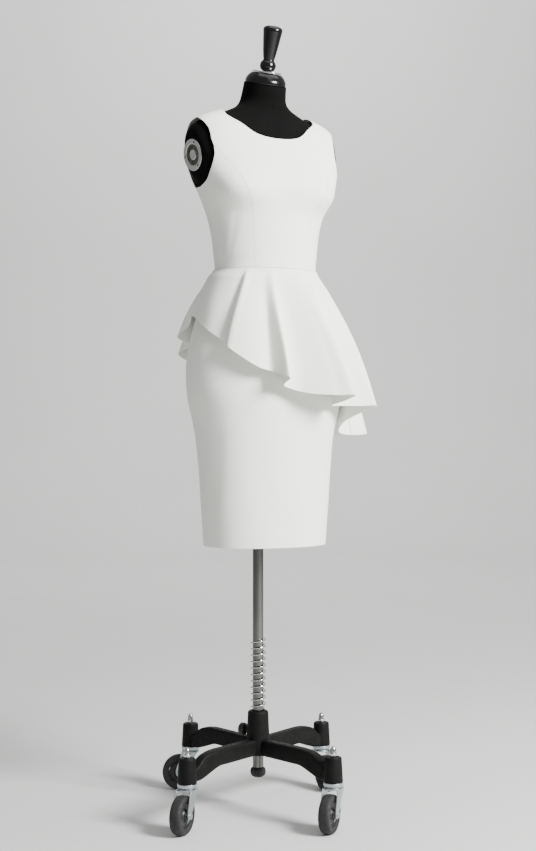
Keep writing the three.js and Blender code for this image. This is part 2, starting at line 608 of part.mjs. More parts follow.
// ---- the whole ----------------------------------------------------------------------------
add('bodice_front_center', bodiceFrontCenter(), crepe);
add('bodice_front_side_left', bodiceFrontSide(1), crepe);
add('bodice_front_side_right', bodiceFrontSide(-1), crepe);
add('bodice_back_left', bodiceBack(1), crepe);
add('bodice_back_right', bodiceBack(-1), crepe);
add('skirt_front', skirtPanel(-90 + SEAM_ANGLE, 90 - SEAM_ANGLE, 12), crepe);
add('skirt_back_left', skirtPanel(90 + SEAM_ANGLE, 180 - SEAM_ANGLE, 6), crepe);
add('skirt_back_right', skirtPanel(180 + SEAM_ANGLE, 270 - SEAM_ANGLE, 6), crepe);
add('peplum_front', peplumPanel(-90 + SEAM_ANGLE, 90 - SEAM_ANGLE, 30), crepe);
add('peplum_back_left', peplumPanel(90 + SEAM_ANGLE, 180 - SEAM_ANGLE, 14), crepe);
add('peplum_back_right', peplumPanel(180 + SEAM_ANGLE, 270 - SEAM_ANGLE, 14), crepe);
group.add(zipPieces());
add('torso', torso(), jersey);
group.add(neckGroup(), armPlate(1), armPlate(-1));
add('form_collar', turned([[POLE_RADIUS + 0.5, 650], [19, 650], [19, 690], [40, 690], [40, FORM_BOTTOM_Z - GAP],
  [POLE_RADIUS + 0.5, FORM_BOTTOM_Z - GAP], [POLE_RADIUS + 0.5, 650]], POLE_SIDES), nylon);
add('base_casting', baseCasting(), casting);
add('pole', upright(POLE_RADIUS, POLE_BOTTOM_Z, POLE_TOP_Z, POLE_SIDES), chrome);
add('pole_stopper', turned([[0, 68], [9, 69], [15, 73], [17, 80], [16, 86], [13, 89.7], [0, 89.7]], 14), rubber);
add('spring', spring(), chrome);
add('clamp_knob', clampKnob(), nylon);
casters();

const box = new THREE.Box3().setFromObject(group);
const middle = box.getCenter(new THREE.Vector3());
group.position.set(-middle.x, -middle.y, -box.min.z);

export default group;
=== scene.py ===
import math

import bmesh
import bpy
import numpy as np
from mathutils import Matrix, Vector


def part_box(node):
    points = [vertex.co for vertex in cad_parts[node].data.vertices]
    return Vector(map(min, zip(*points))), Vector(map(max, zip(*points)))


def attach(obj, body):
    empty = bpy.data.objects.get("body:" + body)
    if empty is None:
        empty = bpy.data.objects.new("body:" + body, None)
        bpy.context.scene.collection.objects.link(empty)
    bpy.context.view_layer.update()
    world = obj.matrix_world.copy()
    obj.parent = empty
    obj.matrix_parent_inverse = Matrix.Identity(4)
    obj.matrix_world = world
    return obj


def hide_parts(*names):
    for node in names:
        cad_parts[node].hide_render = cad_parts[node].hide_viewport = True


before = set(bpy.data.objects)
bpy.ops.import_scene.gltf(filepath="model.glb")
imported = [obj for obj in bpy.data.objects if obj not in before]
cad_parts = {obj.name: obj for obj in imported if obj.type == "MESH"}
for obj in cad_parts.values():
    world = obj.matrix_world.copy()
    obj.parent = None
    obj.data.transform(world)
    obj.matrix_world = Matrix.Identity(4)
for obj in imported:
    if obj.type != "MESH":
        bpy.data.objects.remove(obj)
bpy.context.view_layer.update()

# A sleeveless sheath dress with an asymmetric peplum, on a jersey dress form with a caster stand.
# Shapes are worked out in millimetres about the pole's axis, then moved to the pole's place.

MM = 0.001
_low, _high = (np.array(c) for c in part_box("pole"))
FOOT = np.array([(_low[0] + _high[0]) / 2, (_low[1] + _high[1]) / 2, 0.0])
UP = np.array([0, 0, 1.0])
# Level directions as the camera sees them, 28 degrees round from the dress's front
CAMERA_TURN = -28
RIGHT, AHEAD = np.array([0.8829, -0.4695, 0]), np.array([0.4695, 0.8829, 0])

# ---- sizes ---------------------------------------------------------------------------------
CLOTH_MIDDLE = 3.9            # middle of the cloth, out from the body surface
CLOTH_HALF = 0.6              # half its thickness
WAIST_Z, HEM_Z = 1151.0, 571.0
FORM_BOTTOM_Z, FORM_TOP_Z = 700.0, 1551.0
NECK_LEAN = math.radians(18)
POLE_RADIUS = 11.5
BASE_TURN, ARM_HALF_ANGLE, BOSS_REACH = -26.0, 48.5, 224.0
WHEEL_RADIUS, CASTER_TRAIL = 39.5, 24.0
SEAM_ANGLE = 0.1              # degrees each panel keeps from an upright seam
SIDE_FRONT, SIDE_BACK, CENTRE_BACK = 89.9, 90.1, 179.9
PRINCESS_FOOT = 34            # degrees from the front to the princess seam, at the waist
UNDERARM_Z, BACK_NECK_Z = 1323, 1449
SHOULDER_Z, SHOULDER_RISE = 1465, 20
NECK_Y, PEPLUM_Y = -33, -33   # axis of the neck's top, and middle of the peplum
HUB_BOTTOM_Z, HUB_TOP_Z, BOSS_BOTTOM_Z = 118, 212, 99
SPRING_TOP_Z, SPRING_TURNS = 367, 11
CLAMP_Z, CLAMP_TURN = 168, 122
BORE_RADIUS, BORE_DEPTH = 15, 200

# Level sections of the body: z, half width, depth in front, depth behind, centre Y, squareness
SECTIONS = [
    [571, 129, 97, 97, -32, 2.2], [670, 137, 101, 101, -32, 2.2], [786, 146.5, 106, 107, -32, 2.2],
    [834, 155, 109, 111, -32, 2.2], [882, 166, 113, 116, -32, 2.2], [925, 170, 113, 118, -32, 2.15],
    [964, 168.5, 112, 118, -32, 2.1], [1010, 160, 108, 112, -32, 2.1], [1052, 147, 102, 102, -32, 2.1],
    [1100, 127, 92, 90, -33, 2.1], [1151, 108, 81, 80, -33, 2.1], [1180, 109.5, 81, 80, -33, 2.1],
    [1224, 114.5, 84, 84, -32, 2.1], [1265, 124, 88, 88, -31, 2.1], [1290, 133, 91, 92, -31, 2.15],
    [1320, 145, 95, 95, -29, 2.2], [1335, 152, 95, 94, -26, 2.3], [1350, 160, 93, 93, -24, 2.4],
    [1380, 171, 89, 88, -19, 2.6], [1412, 174, 80, 78, -14, 2.6], [1440, 173, 69, 68, -14, 2.4],
    [1452, 166, 61, 61, -15.5, 2.3], [1465, 151, 50, 54, -18, 2.2], [1474, 130, 46, 51, -19, 2.1],
    [1482, 107, 43, 50, -20, 2.0], [1492, 82, 45, 49, -19, 2.0], [1502, 62, 47, 48, -19.5, 2.0],
    [1515, 51, 47, 47, -22, 2.0], [1533, 47, 46.5, 46.5, -27.5, 2.0], [1551, 45.5, 45, 45, -33, 2.0],
]
BUST_ANGLE, BUST_Z, BUST_RISE, BUST_SPREAD, BUST_ABOVE, BUST_BELOW = 40, 1308, 19, 25, 39, 27

# Bodice lines on the body: t, angle from the front, z
BODICE_LOW = 1150.5
PRINCESS = [[0, PRINCESS_FOOT, BODICE_LOW], [0.25, 33, 1224], [0.5, 32, 1293], [0.62, 33.7, 1316],
            [0.75, 36.5, 1342], [0.88, 41.5, 1373], [1, 50, 1397]]
ARMHOLE_TOP = [[0, 50, 1397], [0.25, 49.5, 1416], [0.48, 54, 1437], [0.65, 62, 1450],
               [0.82, 74, 1459], [1, 89.9, 1465]]
ARMHOLE_LOW = [[0, 89.9, 1323], [0.25, 74, 1332], [0.5, 62, 1351], [0.8, 52, 1378], [1, 50, 1397]]
NECKLINE = [[0, 89.9, 1485], [0.14, 66, 1480.5], [0.28, 48, 1471.5], [0.42, 36.5, 1462],
            [0.55, 28.5, 1453.5], [0.68, 21, 1442], [0.8, 14, 1431.5], [0.9, 7, 1424.5], [1, 0, 1421.5]]
BACK_ARMHOLE = [[0, 90.1, 1323], [0.15, 106, 1326], [0.3, 119, 1338], [0.5, 127, 1365],
                [0.7, 127, 1405], [0.85, 119, 1440], [0.93, 108, 1453], [1, 90.1, 1465]]
BACK_NECKLINE = [[0, 90.1, 1485], [0.3, 118, 1476], [0.6, 145, 1459], [1, 179.9, 1449]]
SEAM_SHARE, BACK_SIDE_SHARE, STRAP_SHARE = 8 / 13, 5 / 14, 2 / 9

# Folds of the peplum's hem: place along the waist seam, direction, reach, height
FOLDS = [
    [-107, -107, 156, 1055], [-92, -92, 158, 1048], [-76, -74, 164, 1021], [-60, -63, 156, 1000],
    [-53, -58, 150, 990], [-48, -55, 167, 986], [-42, -46, 170, 966], [-36, -33, 160, 942],
    [-29, -22, 149, 933],
    [-20, -12, 182, 920], [-14, -13, 149, 905], [-7, -1, 148, 894], [1, 10, 168, 888], [10, 21, 198, 886],
    [20, 28, 222, 886], [29, 33, 188, 875], [36, 36, 154, 866], [43, 44, 164, 865],
    [50, 52, 202, 865], [58, 57, 236, 865], [66, 63, 202, 850], [72, 70, 178, 837],
    [77, 77, 169, 826], [82, 83, 169, 811], [87, 86, 190, 804], [93, 90, 230, 803],
    [99, 94, 266, 805], [107, 101, 238, 802], [114, 109, 204, 800], [121, 117, 208, 799],
    [129, 125, 236, 800], [139, 134, 196, 805], [149, 146, 208, 815], [160, 160, 168, 835],
    [172, 174, 188, 860], [186, 188, 154, 885], [200, 203, 182, 915], [214, 217, 152, 945],
    [226, 229, 192, 977], [235, 237, 160, 995], [241, 243, 186, 1012], [247, 248, 160, 1036],
    [253, 253, 156, 1055],
]


# ---- curves and the body surface -----------------------------------------------------------
def along(table, at):
    """Rows of a table joined by cubic Hermite pieces whose slope at a row is the chord of its neighbours."""
    rows = np.asarray(table, float)
    x, y = rows[:, 0], rows[:, 1:]
    slope = np.empty_like(y)
    slope[1:-1] = (y[2:] - y[:-2]) / (x[2:] - x[:-2])[:, None]
    slope[0] = (y[1] - y[0]) / (x[1] - x[0])
    slope[-1] = (y[-1] - y[-2]) / (x[-1] - x[-2])
    at = np.asarray(at, float)
    i = np.clip(np.searchsorted(x, at, side="right") - 1, 0, len(x) - 2)
    span = (x[i + 1] - x[i])[..., None]
    t = (at[..., None] - x[i][..., None]) / span
    return ((2 * t**3 - 3 * t**2 + 1) * y[i] + (t**3 - 2 * t**2 + t) * span * slope[i]
            + (3 * t**2 - 2 * t**3) * y[i + 1] + (t**3 - t**2) * span * slope[i + 1])


def ease(x, low, high):
    """0 below low, 1 above high, and 3t^2 - 2t^3 between."""
    t = np.clip((x - low) / (high - low), 0, 1)
    return t * t * (3 - 2 * t)


def power(value, n):
    """Superellipse power: the 2/n power of the size, with the sign kept."""
    return np.sign(value) * np.abs(value) ** (2 / n)


def bust_rise(angle, z):
    """Two bell-shaped rises, one each side of the front, flatter above than below."""
    side = (np.abs(angle) - BUST_ANGLE) / BUST_SPREAD
    up = (z - BUST_Z) / np.where(z > BUST_Z, BUST_ABOVE, BUST_BELOW)
    return BUST_RISE * np.exp(-side * side - up * up)


def body(angle, z):
    """Superellipse sections up the height, the front and back of different depth, the neck leaning."""
    half, front, back, centre, n = np.moveaxis(along(SECTIONS, z), -1, 0)
    turn = (angle + 540.0) % 360.0 - 180.0
    s, c = np.sin(np.radians(turn)), np.cos(np.radians(turn))
    rise = bust_rise(turn, z)
    lean = NECK_LEAN * ease(z, 1495, FORM_TOP_Z)
    in_y = np.where(c > 0, front, back) * power(c, n) + rise * c
    return np.stack([half * power(s, n) + rise * s, centre - in_y * np.cos(lean),
                     z - in_y * np.sin(lean)], -1)


def unit(v):
    """Each vector divided by its own length."""
    return v / np.maximum(np.linalg.norm(v, axis=-1, keepdims=True), 1e-9)


def off_body(angle, z, out):
    """The body's point moved out along its normal, the cross product of its two tangents."""
    angle, z = np.broadcast_arrays(np.asarray(angle, float), np.asarray(z, float))
    normal = unit(np.cross(body(angle + 0.8, z) - body(angle - 0.8, z),
                           body(angle, z + 1.5) - body(angle, z - 1.5)))
    return body(angle, z) + normal * np.asarray(out, float)[..., None]


# ---- mesh making ---------------------------------------------------------------------------
def piece(name, grids, material, rides, nodes=(), sharp=40):
    """One mesh from grids of points (columns, rows, 3) in millimetres about the pole. Each grid's faces look
    the way of across times up. Points that meet are welded, which closes seams and poles."""
    points, faces, start = [], [], 0
    for grid in grids:
        m, n = grid.shape[:2]
        index = np.arange(m * n).reshape(m, n) + start
        quads = np.stack([index[:-1, :-1], index[1:, :-1], index[1:, 1:], index[:-1, 1:]], -1)
        faces.append(quads.reshape(-1, 4))
        points.append(grid.reshape(-1, 3))
        start += m * n
    points = np.concatenate(points) * MM + FOOT
    mesh = bpy.data.meshes.new(name)
    mesh.from_pydata(points.tolist(), [], np.concatenate(faces).tolist())
    work = bmesh.new()
    work.from_mesh(mesh)
    bmesh.ops.remove_doubles(work, verts=work.verts, dist=2e-6)
    bmesh.ops.dissolve_degenerate(work, edges=work.edges, dist=1e-7)
    work.to_mesh(mesh)
    work.free()
    return dress_up(name, mesh, material, rides, nodes, sharp)


def dress_up(name, mesh, material, rides, nodes, sharp):
    """Makes the mesh an object with its finish, its body and the solids it stands for."""
    mesh.shade_smooth()
    mesh.set_sharp_from_angle(angle=math.radians(sharp))
    mesh.materials.clear()
    mesh.materials.append(material)
    thing = bpy.data.objects.new(name, mesh)
    bpy.context.scene.collection.objects.link(thing)
    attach(thing, rides)
    if nodes:
        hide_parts(*nodes)
    return thing


def softened(name, node, material, rides, edge):
    """A solid piece's own shape with its edges rounded by a narrow bevel."""
    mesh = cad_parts[node].data.copy()
    work = bmesh.new()
    work.from_mesh(mesh)
    bmesh.ops.remove_doubles(work, verts=work.verts, dist=5e-6)
    bmesh.ops.dissolve_limit(work, angle_limit=math.radians(1.5), verts=work.verts, edges=work.edges)
    work.to_mesh(mesh)
    work.free()
    thing = dress_up(name, mesh, material, rides, (node,), 50)
    bevel = thing.modifiers.new("edges", "BEVEL")
    bevel.width, bevel.segments, bevel.limit_method = edge * MM, 2, "ANGLE"
    bevel.angle_limit = math.radians(32)
    return thing


def lathe(profile, sides):
    """A profile of (radius, height), lowest first on the outside, turned about the upright axis."""
    profile = np.asarray(profile, float)
    turn = np.linspace(0, 2 * math.pi, sides + 1)
    turn[-1] = 0
    r, z = profile[:, 0], profile[:, 1]
    return np.stack([r[None] * np.cos(turn)[:, None], r[None] * np.sin(turn)[:, None],
                     np.broadcast_to(z[None], (sides + 1, len(z)))], -1)


def eased_profile(corners, radius, steps=5):
    """A profile with rounded inner corners: each becomes a quadratic arc between points set back from it."""
    corners = np.asarray(corners, float)
    points = [corners[0]]
    for before, corner, after in zip(corners[:-2], corners[1:-1], corners[2:]):
        back, on = before - corner, after - corner
        reach = min(radius, 0.45 * np.hypot(*back), 0.45 * np.hypot(*on))
        a = corner + back / np.hypot(*back) * reach
        b = corner + on / np.hypot(*on) * reach
        t = np.linspace(0, 1, steps)[:, None]
        points.extend((1 - t) ** 2 * a + 2 * t * (1 - t) * corner + t * t * b)
    points.append(corners[-1])
    return np.array(points)


def turned_x(grid, angle):
    """Turned about X by an angle."""
    c, s = math.cos(angle), math.sin(angle)
    return grid @ np.array([[1, 0, 0], [0, c, s], [0, -s, c]])


def turned_z(grid, angle):
    """Turned about Z by an angle."""
    c, s = math.cos(angle), math.sin(angle)
    return grid @ np.array([[c, s, 0], [-s, c, 0], [0, 0, 1]])


def to_direction(grid, direction):
    """Turns +Z to a direction by the shortest way."""
    z = np.asarray(direction, float) / np.linalg.norm(direction)
    axis = np.cross([0, 0, 1], z)
    cross = np.array([[0, -axis[2], axis[1]], [axis[2], 0, -axis[0]], [-axis[1], axis[0], 0]])
    return grid @ (np.eye(3) + cross + cross @ cross / (1 + z[2])).T


def tube(path, radius, sides):
    """A round section carried along a path, its frame kept by the upright direction, shut at both ends."""
    path = np.asarray(path, float)
    ahead = unit(np.gradient(path, axis=0))
    side = unit(np.cross(ahead, UP))
    up = np.cross(side, ahead)
    turn = np.linspace(0, 2 * math.pi, sides + 1)
    turn[-1] = 0
    radius = np.broadcast_to(np.asarray(radius, float), (len(path),))
    ring = (side[:, None] * np.cos(turn)[None, :, None] + up[:, None] * np.sin(turn)[None, :, None])
    skin = path[:, None] + ring * radius[:, None, None]
    first = np.broadcast_to(path[:1, None], (1,) + skin.shape[1:])
    last = np.broadcast_to(path[-1:, None], (1,) + skin.shape[1:])
    return np.concatenate([first, skin, last])


def outwards(thing):
    """Recalculates a closed piece's faces to look out."""
    work = bmesh.new()
    work.from_mesh(thing.data)
    bmesh.ops.recalc_face_normals(work, faces=work.faces)
    work.to_mesh(thing.data)
    work.free()


# ---- materials -----------------------------------------------------------------------------
class Finish:
    """A surface whose colour, roughness and relief come from a few noise layers in object space."""

    def __init__(self, name, color, roughness, metallic=0.0):
        self.material = bpy.data.materials.new(name)
        self.material.use_nodes = True
        self.nodes, self.links = self.material.node_tree.nodes, self.material.node_tree.links
        self.shader = self.nodes["Principled BSDF"]
        self.shader.inputs["Base Color"].default_value = (*color, 1)
        self.shader.inputs["Roughness"].default_value = roughness
        self.shader.inputs["Metallic"].default_value = metallic
        self.place = self.nodes.new("ShaderNodeTexCoord").outputs["Object"]
        self.color, self.relief = color, None

    def noise(self, scale, detail=3.0, stretch=(1, 1, 1), rough=0.5):
        mapping = self.nodes.new("ShaderNodeMapping")
        mapping.inputs["Scale"].default_value = stretch
        self.links.new(self.place, mapping.inputs["Vector"])
        node = self.nodes.new("ShaderNodeTexNoise")
        node.inputs["Scale"].default_value = scale
        node.inputs["Detail"].default_value = detail
        node.inputs["Roughness"].default_value = rough
        self.links.new(mapping.outputs["Vector"], node.inputs["Vector"])
        return node.outputs["Fac"]

    def spread(self, source, low, high, from_low=0.3, from_high=0.7):
        node = self.nodes.new("ShaderNodeMapRange")
        ends = {"From Min": from_low, "From Max": from_high, "To Min": low, "To Max": high}
        for key, value in ends.items():
            node.inputs[key].default_value = value
        self.links.new(source, node.inputs["Value"])
        return node.outputs["Result"]

    def tint(self, source, other, low=0.3, high=0.7):
        """The base colour drifts towards another colour where the source is high."""
        node = self.nodes.new("ShaderNodeMix")
        node.data_type = "RGBA"
        base = self.shader.inputs["Base Color"]
        if base.is_linked:
            self.links.new(base.links[0].from_socket, node.inputs["A"])
        else:
            node.inputs[6].default_value = (*self.color, 1)
        node.inputs[7].default_value = (*other, 1)
        self.links.new(self.spread(source, 0, 1, low, high), node.inputs["Factor"])
        self.links.new(node.outputs[2], base)
        return self

    def rough(self, source, low, high):
        self.links.new(self.spread(source, low, high), self.shader.inputs["Roughness"])
        return self

    def bump(self, source, height, strength=1.0):
        """Relief of a height in millimetres, on top of any relief given before."""
        node = self.nodes.new("ShaderNodeBump")
        node.inputs["Distance"].default_value = height * MM
        node.inputs["Strength"].default_value = strength
        self.links.new(source, node.inputs["Height"])
        if self.relief is not None:
            self.links.new(self.relief, node.inputs["Normal"])
        self.relief = node.outputs["Normal"]
        self.links.new(self.relief, self.shader.inputs["Normal"])
        return self

    def fixed(self, **values):
        for key, value in values.items():
            self.shader.inputs[key.replace("_", " ")].default_value = value
        return self


def crepe_finish():
    """Ivory crepe: a fine pebbled face, a little soft sheen, faint drift of tone."""
    f = Finish("crepe", (0.91, 0.912, 0.862), 0.72)
    f.tint(f.noise(9, 3), (0.892, 0.896, 0.838))
    f.rough(f.noise(260, 2), 0.66, 0.8)
    f.bump(f.noise(34, 3), 0.35, 0.25)
    f.bump(f.noise(1500, 3, rough=0.65), 0.08, 0.5)
    f.bump(f.noise(900, 1, stretch=(1, 1, 0.28)), 0.05, 0.4)
    return f.fixed(Sheen_Weight=0.22, Sheen_Roughness=0.45, Specular_IOR_Level=0.25).material


def jersey_finish():
    """Black cotton jersey: upright ribs of stitches over a dull matte ground."""
    f = Finish("jersey", (0.0016, 0.0016, 0.0015), 0.9)
    f.tint(f.noise(14, 3), (0.0028, 0.0027, 0.0026))
    f.tint(f.noise(700, 2), (0.004, 0.0038, 0.0036), 0.55, 0.85)
    f.bump(f.noise(1100, 2, stretch=(1, 1, 0.3)), 0.12, 0.6)
    return f.fixed(Sheen_Weight=0.008, Sheen_Roughness=0.4, Specular_IOR_Level=0.07).material


def lacquer_finish():
    """Black gloss lacquer over turned wood, a little uneven."""
    f = Finish("lacquer", (0.002, 0.002, 0.002), 0.16)
    f.rough(f.noise(40, 3), 0.1, 0.24)
    f.bump(f.noise(60, 2), 0.1, 0.15)
    return f.fixed(Coat_Weight=0.3, Coat_Roughness=0.08, Specular_IOR_Level=0.25).material


def chrome_finish():
    """Bright plating with faint upright polishing lines."""
    f = Finish("chrome", (0.62, 0.63, 0.62), 0.13, 1.0)
    f.tint(f.noise(30, 3), (0.52, 0.53, 0.53))
    f.rough(f.noise(120, 4, stretch=(1, 1, 0.15)), 0.08, 0.2)
    return f.bump(f.noise(500, 2), 0.01, 0.3).material


def satin_finish():
    """The pole's plating: chrome with fine lines round it and slightly dulled."""
    f = Finish("satin plating", (0.16, 0.161, 0.152), 0.18, 1.0)
    f.rough(f.noise(300, 3, stretch=(1, 1, 4)), 0.14, 0.26)
    f.tint(f.noise(8, 2), (0.12, 0.121, 0.116))
    return f.bump(f.noise(900, 2, stretch=(0.2, 0.2, 3)), 0.012, 0.4).material


def zinc_finish():
    """Zinc plate: bluish grey with paler and duller blooms."""
    f = Finish("zinc", (0.46, 0.5, 0.51), 0.36, 1.0)
    f.tint(f.noise(70, 4), (0.36, 0.4, 0.43))
    f.tint(f.noise(25, 3), (0.55, 0.56, 0.53), 0.5, 0.8)
    f.rough(f.noise(220, 3), 0.28, 0.48)
    return f.bump(f.noise(700, 3), 0.03, 0.4).material


def casting_finish():
    """Black paint over a sand casting: low lumps, fine grain, greyer where it has rubbed."""
    f = Finish("casting", (0.003, 0.003, 0.0029), 0.6)
    f.tint(f.noise(45, 4), (0.0058, 0.0055, 0.0053))
    f.rough(f.noise(150, 4), 0.46, 0.72)
    f.bump(f.noise(90, 3), 0.5, 0.3)
    f.bump(f.noise(900, 3, rough=0.7), 0.12, 0.5)
    return f.fixed(Specular_IOR_Level=0.12).material


def rubber_finish(name="rubber"):
    """Black rubber, dusty in patches."""
    f = Finish(name, (0.006, 0.006, 0.006), 0.75)
    f.tint(f.noise(60, 4), (0.014, 0.0135, 0.013), 0.45, 0.8)
    f.rough(f.noise(200, 3), 0.6, 0.85)
    return f.bump(f.noise(1200, 2), 0.06, 0.4).material


def nylon_finish():
    """Black moulded nylon with a fine grain."""
    f = Finish("nylon", (0.008, 0.008, 0.008), 0.42)
    f.rough(f.noise(180, 3), 0.34, 0.52)
    return f.bump(f.noise(1400, 2), 0.03, 0.4).material


def well_shade_finish():
    """Near-black steel that paints the shade in the arm plates' dished wells, with browner patches."""
    f = Finish("painted well shade", (0.06, 0.055, 0.045), 0.3, 1.0)
    f.tint(f.noise(90, 3), (0.16, 0.15, 0.12))
    return f.rough(f.noise(200, 3), 0.22, 0.4).material


def enamel_finish():
    """Ivory enamel on the zip's metal."""
    f = Finish("enamel", (0.8, 0.8, 0.75), 0.35)
    f.rough(f.noise(300, 3), 0.25, 0.45)
    return f.bump(f.noise(600, 2), 0.02, 0.3).material


CREPE, JERSEY, LACQUER, CHROME = crepe_finish(), jersey_finish(), lacquer_finish(), chrome_finish()
SATIN, ZINC, CASTING, RUBBER = satin_finish(), zinc_finish(), casting_finish(), rubber_finish()
TYRE, NYLON, ENAMEL = rubber_finish("tyre rubber"), nylon_finish(), enamel_finish()
WELL_SHADE_STEEL = well_shade_finish()


# ---- the dress -----------------------------------------------------------------------------
def shares(count):
    """Places from 0 to 1, close together by both ends where the cloth's edge is rounded."""
    close = np.array([0, 0.0007, 0.002, 0.0045, 0.009])
    return np.concatenate([close, np.linspace(0.016, 0.984, count), 1 - close[::-1]])


def edge_reach(middle):
    """Each point's distance to the nearest of the sheet's four edges, measured along its grid lines."""
    def both_ends(axis):
        step = np.linalg.norm(np.diff(middle, axis=axis), axis=-1)
        run = np.insert(np.cumsum(step, axis=axis), 0, 0, axis=axis)
        return np.minimum(run, run.max(axis=axis, keepdims=True) - run)
    return np.minimum(both_ends(0), both_ends(1))


def half_thickness(reach):
    """A round edge: the thickness grows from nothing at the edge as a half circle does."""
    t = np.clip(reach / CLOTH_HALF, 0, 1)
    return CLOTH_HALF * np.sqrt(np.clip(1 - (1 - t) ** 2, 0, 1))


def cloth(name, angle, z, relief, nodes, drop=0.0):
    """A sheet laid on the body at (angle, z), relief out of it, closed all round with a round edge."""
    middle = off_body(angle, z, np.full(np.shape(angle), CLOTH_MIDDLE))
    thin = half_thickness(edge_reach(middle))
    out = CLOTH_MIDDLE + relief - drop
    outer, inner = off_body(angle, z, out + thin), off_body(angle, z, out - thin)
    return piece(name, [outer, inner[::-1]], CREPE, "form", nodes, 60)


def ripple(angle, z):
    """The cloth's slight life: long low waves, under half a millimetre."""
    return (0.22 * np.sin(z / 31 + angle / 19) * np.sin(angle / 11 - z / 83)
            + 0.12 * np.sin(z / 14 - angle / 7 + 1.1))


def trough(angle, z, start, end, width, depth):
    """A soft crease: depth times a bell across the line from start to end, fading towards its ends."""
    scale = 1.9                                     # millimetres round the body to a degree
    a = np.array([start[0] * scale, start[1]])
    b = np.array([end[0] * scale, end[1]])
    p = np.stack([angle * scale, z], -1)
    line = b - a
    t = np.clip(((p - a) @ line) / (line @ line), 0, 1)
    away = np.linalg.norm(p - (a + t[..., None] * line), axis=-1)
    return -depth * np.exp(-(away / width) ** 2) * np.sin(math.pi * np.clip(0.12 + 0.76 * t, 0, 1))


def bodice_relief(angle, z):
    """Drag lines from the bust towards the waist and the armhole, with the same on the back."""
    side = np.abs(angle)
    return (ripple(angle, z)
            + trough(side, z, (48, 1268), (66, 1180), 8, 0.7)
            + trough(side, z, (70, 1300), (88, 1236), 9, 0.6)
            + trough(side, z, (20, 1215), (10, 1160), 10, 0.4)
            + trough(side, z, (56, 1362), (72, 1338), 7, 0.6)
            + trough(side, z, (112, 1300), (140, 1230), 12, 0.7)
            + trough(side, z, (128, 1200), (165, 1172), 9, 0.7)
            + 0.35 * np.exp(-((z - 1157) / 3.0) ** 2))


def skirt_relief(angle, z):
    """Broad folds that hang from the hip, a crease each side, and the hem's turning, a little proud."""
    side = np.abs((angle + 180) % 360 - 180)
    return (ripple(angle, z) + 0.5 * np.sin(angle / 17) * ease(z, 900, 640)
            + trough(side, z, (60, 860), (74, 640), 16, 1.2)
            + trough(side, z, (24, 800), (18, 610), 20, 0.8)
            + trough(side, z, (122, 850), (110, 650), 16, 1.2)
            + trough(side, z, (150, 930), (172, 880), 9, 0.8)
            + 0.22 * ease(z, HEM_Z + 32, HEM_Z + 30))


def coons(u, v, bottom, top, left, right):
    """Blend of four edge lines: the two ruled surfaces less the one through the corners."""
    across = bottom(u) * (1 - v)[..., None] + top(u) * v[..., None]
    up = left(v) * (1 - u)[..., None] + right(v) * u[..., None]
    zero, one = np.zeros(()), np.ones(())
    low = bottom(zero) * (1 - u)[..., None] + bottom(one) * u[..., None]
    high = top(zero) * (1 - u)[..., None] + top(one) * u[..., None]
    return across + up - (low * (1 - v)[..., None] + high * v[..., None])


def pair(angle, z):
    """Angles and heights stacked as points on the body."""
    return np.stack(np.broadcast_arrays(np.asarray(angle, float), np.asarray(z, float)), -1)


def bodice_front_center():
    """Between the princess seams up to the armholes, the shoulders and the round neckline."""
    def side(v):
        low = along(PRINCESS, np.clip(v / SEAM_SHARE, 0, 1))
        high = along(ARMHOLE_TOP, np.clip((v - SEAM_SHARE) / (1 - SEAM_SHARE), 0, 1))
        return np.where((v < SEAM_SHARE)[..., None], low, high)

    def top(u):
        w = 1 - np.abs(2 * u - 1)
        strap = pair(SIDE_FRONT, SHOULDER_Z + SHOULDER_RISE * np.clip(w / STRAP_SHARE, 0, 1))
        neck = along(NECKLINE, np.clip((w - STRAP_SHARE) / (1 - STRAP_SHARE), 0, 1))
        line = np.where((w < STRAP_SHARE)[..., None], strap, neck)
        return pair(np.where(u < 0.5, -1, 1) * line[..., 0], line[..., 1])

    def inset(edge):
        return lambda v: pair(edge * (side(v)[..., 0] - SEAM_ANGLE), side(v)[..., 1])

    u = np.sort(np.unique(np.concatenate([shares(60), 0.5 * STRAP_SHARE * np.linspace(0.9, 1.1, 5),
                                          1 - 0.5 * STRAP_SHARE * np.linspace(0.9, 1.1, 5)])))
    v = np.sort(np.unique(np.concatenate([shares(90), SEAM_SHARE + np.linspace(-0.01, 0.01, 5)])))
    u, v = np.meshgrid(u, v, indexing="ij")
    place = coons(u, v, lambda t: pair((2 * t - 1) * (PRINCESS_FOOT - SEAM_ANGLE), BODICE_LOW), top,
                  inset(-1), inset(1))
    angle, z = place[..., 0], place[..., 1]
    return cloth("bodice_front_center_cloth", angle, z, bodice_relief(angle, z), ("bodice_front_center",))


def bodice_front_side(sign, hand):
    """From the princess seam to the side seam, up to the lower armhole."""
    def seam(v):
        line = along(PRINCESS, v)
        return pair(line[..., 0] + SEAM_ANGLE, line[..., 1])

    u, v = np.meshgrid(shares(34), shares(60), indexing="ij")
    first = PRINCESS_FOOT + SEAM_ANGLE
    place = coons(u, v, lambda t: pair(first + (SIDE_FRONT - first) * t, BODICE_LOW),
                  lambda t: along(ARMHOLE_LOW, 1 - t), seam,
                  lambda t: pair(SIDE_FRONT, BODICE_LOW + t * (UNDERARM_Z - BODICE_LOW)))
    angle, z = sign * place[..., 0], place[..., 1]
    if sign < 0:
        angle, z = angle[::-1], z[::-1]
    return cloth(f"bodice_front_side_{hand}_cloth", angle, z, bodice_relief(angle, z),
                 (f"bodice_front_side_{hand}",))


